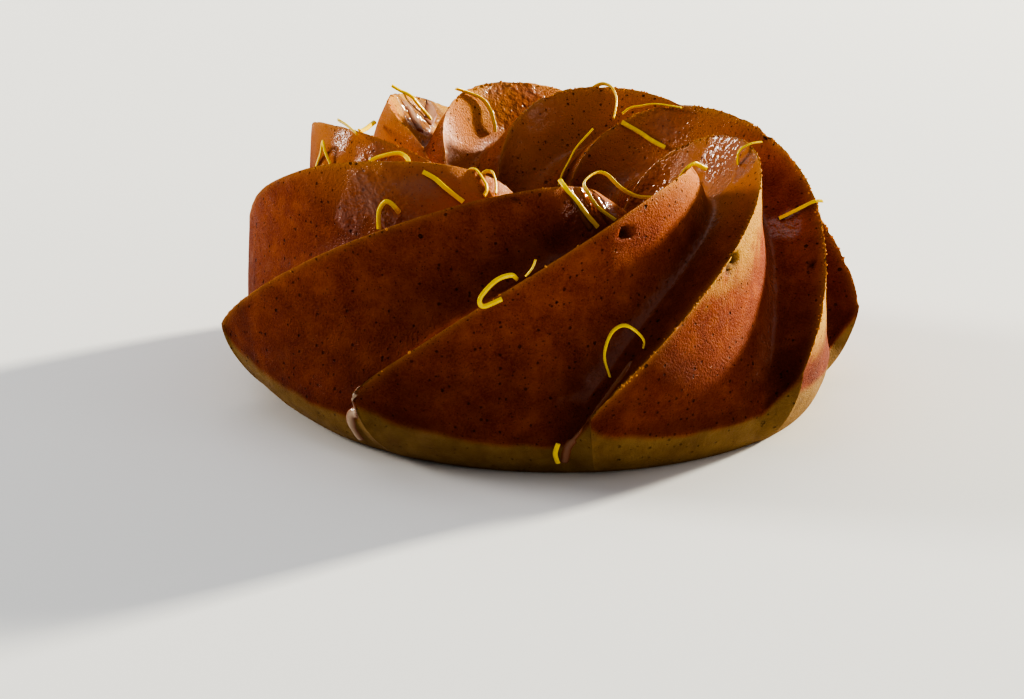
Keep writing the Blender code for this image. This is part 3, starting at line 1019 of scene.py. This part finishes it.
@dataclass
class GlazeFilm:
    """The runs, drips and pools of glaze, each a thin closed shell that grips the crust."""

    pitch: float = 0.9 * MM
    across: int = 15
    grip: float = 0.5 * MM
    edge_sink: float = 0.12 * MM

    def run(self, run: GlazeRun, skin: BVHTree, centre: Vector,
            strands: ZestStrands) -> tuple[Array, Array]:
        """Lays one run on the crust.

        Args:
            run: The run's marks and thickness.
            skin: The crust's faces.
            centre: Where the hole's axis stands.
            strands: Lends its smooth curve.

        Returns:
            The shell's points, as rows along the run with the top's points and then the
            underside's, and how milky the film is at each, from 0 to 1.
        """
        marks = [Vector(m[:3]) * MM + centre for m in run.marks]
        count = max(6, round(sum((b - a).length for a, b in zip(marks, marks[1:])) / self.pitch))
        path = [skin.find_nearest(p)[0] for p in strands.spline(marks, count)]
        for _ in range(3):
            path = [path[0], *[(a + 2 * b + c) / 4 for a, b, c in zip(path, path[1:], path[2:])],
                    path[-1]]
        widths = np.interp(np.linspace(0, len(marks) - 1, count + 1), np.arange(len(marks)),
                           [m[3] * MM for m in run.marks])
        shares = np.linspace(-1, 1, self.across)
        base = np.empty((count + 1, self.across, 3))
        out = np.empty_like(base)
        for i, spot in enumerate(path):
            along = (path[min(i + 1, count)] - path[max(i - 1, 0)]).normalized()
            normal = skin.find_nearest(spot)[1]
            side = along.cross(normal).normalized()
            wobble = 1 + 0.25 * noise.noise(spot / (4 * MM))
            for j, share in enumerate(shares):
                hit, face, _, _ = skin.find_nearest(spot + side * share * widths[i] * wobble)
                base[i, j], out[i, j] = hit, face
        for _ in range(3):
            out = self.eased(out, 0)
            out = self.eased(out, 1)
        out /= np.linalg.norm(out, axis=-1, keepdims=True)
        ends = np.clip(np.minimum(np.arange(count + 1), np.arange(count + 1)[::-1])
                       * self.pitch / (1.8 * MM), 0, 1)
        depth = np.sqrt(ends * (2 - ends))[:, None] * np.sqrt(1 - shares ** 2)[None]
        top = base + out * (depth * run.thickness * MM - self.edge_sink)[..., None]
        for _ in range(run.fillet):
            smoothed = self.eased(top, 1)
            top[:, 1:-1] = smoothed[:, 1:-1]
        points = np.concatenate([top, base - out * self.grip], 1)
        return points, np.concatenate([depth ** 2 * run.milk, np.zeros_like(depth)], 1)

    def eased(self, grid: Array, axis: int) -> Array:
        """Averages each value of a grid with its neighbours along one axis."""
        ends = np.concatenate([np.take(grid, [0], axis), grid, np.take(grid, [-1], axis)], axis)
        size = grid.shape[axis]
        low, middle, high = (np.take(ends, range(k, k + size), axis) for k in range(3))
        return (low + 2 * middle + high) / 4

    def faces(self, rows: int, start: int) -> list[tuple[int, ...]]:
        """The faces of one closed shell whose first vertex has the number start."""
        n = self.across
        ring = [*range(n), *range(2 * n - 1, n - 1, -1)]
        size = len(ring)
        made: list[tuple[int, ...]] = []
        for r in range(rows - 1):
            here, above = start + r * 2 * n, start + (r + 1) * 2 * n
            for k in range(size):
                a, b = ring[k], ring[(k + 1) % size]
                made.append((here + a, here + b, above + b, above + a))
        last = start + (rows - 1) * 2 * n
        for k in range(n - 1):
            made.append((start + k, start + n + k, start + n + k + 1, start + k + 1))
            made.append((last + k, last + k + 1, last + n + k + 1, last + n + k))
        return made

    def build(self, skin: BVHTree, centre: Vector, strands: ZestStrands) -> Piece:
        """Builds all the runs as one piece."""
        all_points: list[Array] = []
        milks: list[Array] = []
        faces: list[tuple[int, ...]] = []
        start = 0
        for run in GLAZE_RUNS:
            points, milk = self.run(run, skin, centre, strands)
            faces += self.faces(len(points), start)
            all_points.append(points.reshape(-1, 3))
            milks.append(milk.ravel())
            start += points.shape[0] * points.shape[1]
        piece = new_piece("glaze", np.concatenate(all_points), faces)
        store(piece, "milk", np.concatenate(milks))
        piece.data.materials.append(GlazeFinish().material())
        return piece


@dataclass
class Crumbs:
    """The torn crumbs that stand on the crests, where the tin held the cake back."""

    density: float = 900000.0
    smallest: float = 0.22 * MM
    largest: float = 0.62 * MM
    squash: Mark = (1.0, 0.8, 0.65)
    lump_size: float = 0.7 * MM
    seed: int = 11

    def scatter_tree(self, values: dict[str, Any]) -> Tree:
        """Builds the tree that scatters lumpy crumbs where a skin is crumbly.

        Args:
            values: The tree's inputs, which are the crumbs' number, sizes, seed and material.

        Returns:
            The tree.
        """
        tree = geometry_tree("crumb_scatter", values)
        given = tree.nodes[0].outputs
        loose = add_node(tree, "GeometryNodeInputNamedAttribute", {"data_type": "FLOAT"}, {
            "Name": "crumbly"})
        points = add_node(tree, "GeometryNodeDistributePointsOnFaces", None, {
            "Mesh": given["Geometry"], "Seed": given["Seed"],
            "Density": maths(tree, "MULTIPLY", loose, given["Density"])})
        size = add_node(tree, "FunctionNodeRandomValue", {"data_type": "FLOAT"}, {
            2: given["Smallest"], 3: given["Largest"], "Seed": given["Seed"]})
        turn = add_node(tree, "FunctionNodeRandomValue", {"data_type": "FLOAT_VECTOR"}, {
            0: (0.0,) * 3, 1: (math.tau,) * 3, "Seed": given["Seed"]})
        lump = add_node(tree, "GeometryNodeMeshIcoSphere", None, {"Radius": 1.0, "Subdivisions": 2})
        squat = add_node(tree, "GeometryNodeTransform", None, {
            "Geometry": lump, "Scale": self.squash})
        placed = add_node(tree, "GeometryNodeInstanceOnPoints", None, {
            "Points": points, "Instance": squat, "Rotation": turn, "Scale": size.outputs[1]})
        end_tree(tree, placed, self.lump_size, 1.0, given["Largest"])
        return tree

    def build(self, cake: Piece) -> Piece:
        """Scatters the crumbs over a copy of the cake's skin, as one piece."""
        values = {"Density": self.density, "Smallest": self.smallest, "Largest": self.largest,
                  "Seed": self.seed, "Material": CrumbFinish().material()}
        source = linked("crumb_source", cake.data.copy())
        return grown("crest_crumbs", source, self.scatter_tree(values), values)


@dataclass(frozen=True)
class Lamp:
    """A square light that faces the cake from a direction, with its power in watts."""

    name: str
    direction: Mark
    power: float
    tint: str
    size: float
    distance: float = 3.0

    def build(self) -> None:
        """Adds the light."""
        lamp = bpy.data.lights.new(self.name, "AREA")
        lamp.shape = "SQUARE"
        lamp.size, lamp.energy = self.size, self.power
        lamp.color = linear(self.tint)[:3]
        holder = linked(self.name, lamp)
        towards = Vector(self.direction).normalized()
        holder.location = towards * self.distance + Vector((0, 0, 0.05))
        holder.rotation_mode = "QUATERNION"
        holder.rotation_quaternion = towards.to_track_quat("Z", "Y")


@dataclass
class Studio:
    """The pale floor, the soft lights and the camera."""

    floor_size: float = 8.0
    floor: str = "#f1f2f2"
    key_bearing: float = 35.0
    key_rise: float = 14.0
    sky: float = 0.34
    sky_tint: str = "#eceef2"
    elevation: float = 17.54
    roll: float = 0.5
    radii_away: float = 9.0
    pixels_per_radius: float = 321.5
    picture: tuple[int, int] = (1024, 699)
    aim: tuple[float, float] = (538.4, 303.8)

    def build_floor(self) -> Piece:
        """Builds the floor, a wide sheet of matt card."""
        half = self.floor_size / 2
        corners = np.array([(-half, -half, 0), (half, -half, 0), (half, half, 0), (-half, half, 0)])
        piece = new_piece("studio_floor", corners, [(0, 1, 2, 3)])
        card = bpy.data.materials.new("matt_white_card")
        card.use_nodes = True
        shader = card.node_tree.nodes["Principled BSDF"]
        feed(card.node_tree, shader, {"Base Color": linear(self.floor), "Roughness": 0.9})
        piece.data.materials.append(card)
        return piece

    def build_lights(self) -> None:
        """Adds the key light from the right, three weak lights that fill, and a pale sky."""
        bearing, rise = math.radians(self.key_bearing), math.radians(self.key_rise)
        key = (math.cos(bearing) * math.cos(rise), math.sin(bearing) * math.cos(rise),
               math.sin(rise))
        for lamp in (Lamp("key", key, 320.0, "#fff8e2", 0.34, 4.0),
                     Lamp("side", (-0.95, 0.25, 0.36), 46.0, "#fffaf0", 0.8),
                     Lamp("low", (0.9, -0.5, 0.12), 14.0, "#fff4e4", 1.2),
                     Lamp("top", (-0.25, 0.45, 1.0), 10.0, "#ffffff", 2.2)):
            lamp.build()
        world = bpy.data.worlds.new("studio_air")
        world.use_nodes = True
        air = world.node_tree.nodes["Background"]
        feed(world.node_tree, air, {"Color": linear(self.sky_tint), "Strength": self.sky})
        bpy.context.scene.world = world
        bpy.context.scene.view_settings.look = "AgX - Very High Contrast"

    def build_camera(self, form: SwirlForm) -> None:
        """Adds the camera at the photograph's height, with a long lens.

        Args:
            form: Gives the point that the lens is centred on, and the unit of distance.
        """
        lens = bpy.data.cameras.new("camera")
        camera = linked("camera", lens)
        rise = math.radians(self.elevation)
        back = Vector((0, -math.cos(rise), math.sin(rise)))
        target = Vector(form.hole_centre) + Vector((0, 0, form.tip_height))
        camera.location = target + back * self.radii_away * form.tip_radius
        camera.rotation_mode = "QUATERNION"
        level = (-back).to_track_quat("-Z", "Y")
        camera.rotation_quaternion = level @ Quaternion((0, 0, 1), math.radians(self.roll))
        width, height = self.picture
        lens.sensor_width = 36
        lens.lens = self.pixels_per_radius * self.radii_away / width * lens.sensor_width
        lens.shift_x = (width / 2 - self.aim[0]) / width
        lens.shift_y = (self.aim[1] - height / 2) / width
        bpy.context.scene.camera = camera


def main() -> None:
    """Builds the cake, its zest, glaze and crumbs, and the studio round them."""
    logging.basicConfig(level=logging.INFO, format="%(message)s")
    form = SwirlForm()
    centre = Vector(form.hole_centre)
    cake = CakeBody(form).build()
    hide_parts("cake")
    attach(cake, "root")
    log.info("cake_crust: %d faces", len(cake.data.polygons))
    skin = BVHTree.FromPolygons([v.co for v in cake.data.vertices],
                                [p.vertices for p in cake.data.polygons])
    strands = ZestStrands()
    for piece in strands.build(skin, centre):
        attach(piece, "root")
        log.info("%s: %d faces", piece.name, len(piece.data.polygons))
    glaze = GlazeFilm().build(skin, centre, strands)
    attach(glaze, "root")
    log.info("glaze: %d faces", len(glaze.data.polygons))
    crumbs = Crumbs().build(cake)
    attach(crumbs, "root")
    log.info("crest_crumbs: %d faces", len(crumbs.data.polygons))
    studio = Studio()
    studio.build_floor()
    studio.build_lights()
    studio.build_camera(form)


if __name__ == "__main__":
    main()
